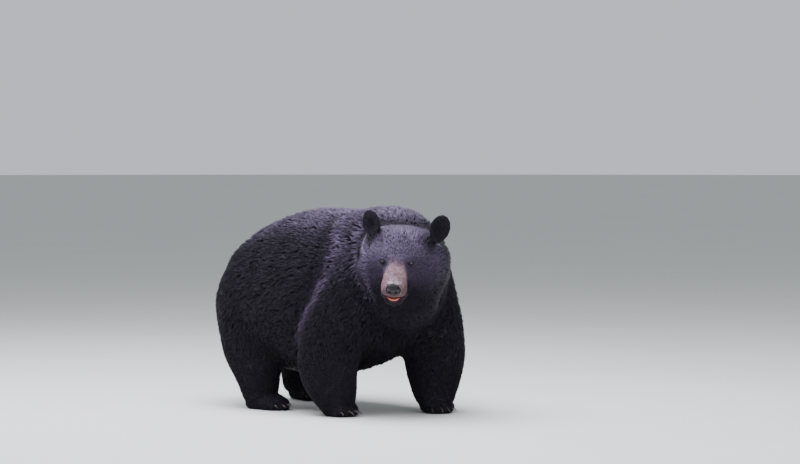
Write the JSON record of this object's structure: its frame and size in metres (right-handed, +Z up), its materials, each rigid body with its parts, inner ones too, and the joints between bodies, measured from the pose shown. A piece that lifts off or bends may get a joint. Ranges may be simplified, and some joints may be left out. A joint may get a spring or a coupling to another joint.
{
  "type": "black bear",
  "caption": "Life-size still model of a heavy American black bear standing on all fours, head low and turned to its right, mouth slightly open.",
  "frame": {"origin": "on the floor under the middle of the whole bear's box", "axes": "+Z up, the bear faces -Y, its left side is +X, +Y points from head to tail"},
  "size_m": [0.7518, 1.5154, 0.9266],
  "materials": {
    "coat": "dense black fur with a cool sheen, brown on the muzzle",
    "eye": "wet dark brown",
    "nose": "moist pebbled leather",
    "claw": "dark horn",
    "tongue": "moist flesh"
  },
  "bodies": {
    "root": {"head": "coat", "neck": "coat", "trunk": "coat", "tail": "coat", "foreleg_left": "coat", "forepaw_left": "coat", "hindleg_left": "coat", "hindpaw_left": "coat", "ear_left": "coat", "eye_left": "eye", "claw_fore_left_1": "claw", "claw_fore_left_2": "claw", "claw_fore_left_3": "claw", "claw_fore_left_4": "claw", "claw_fore_left_5": "claw", "claw_hind_left_1": "claw", "claw_hind_left_2": "claw", "claw_hind_left_3": "claw", "claw_hind_left_4": "claw", "claw_hind_left_5": "claw", "foreleg_right": "coat", "forepaw_right": "coat", "hindleg_right": "coat", "hindpaw_right": "coat", "ear_right": "coat", "eye_right": "eye", "claw_fore_right_1": "claw", "claw_fore_right_2": "claw", "claw_fore_right_3": "claw", "claw_fore_right_4": "claw", "claw_fore_right_5": "claw", "claw_hind_right_1": "claw", "claw_hind_right_2": "claw", "claw_hind_right_3": "claw", "claw_hind_right_4": "claw", "claw_hind_right_5": "claw", "nose": "nose", "tongue": "tongue"}
  },
  "joints": []
}
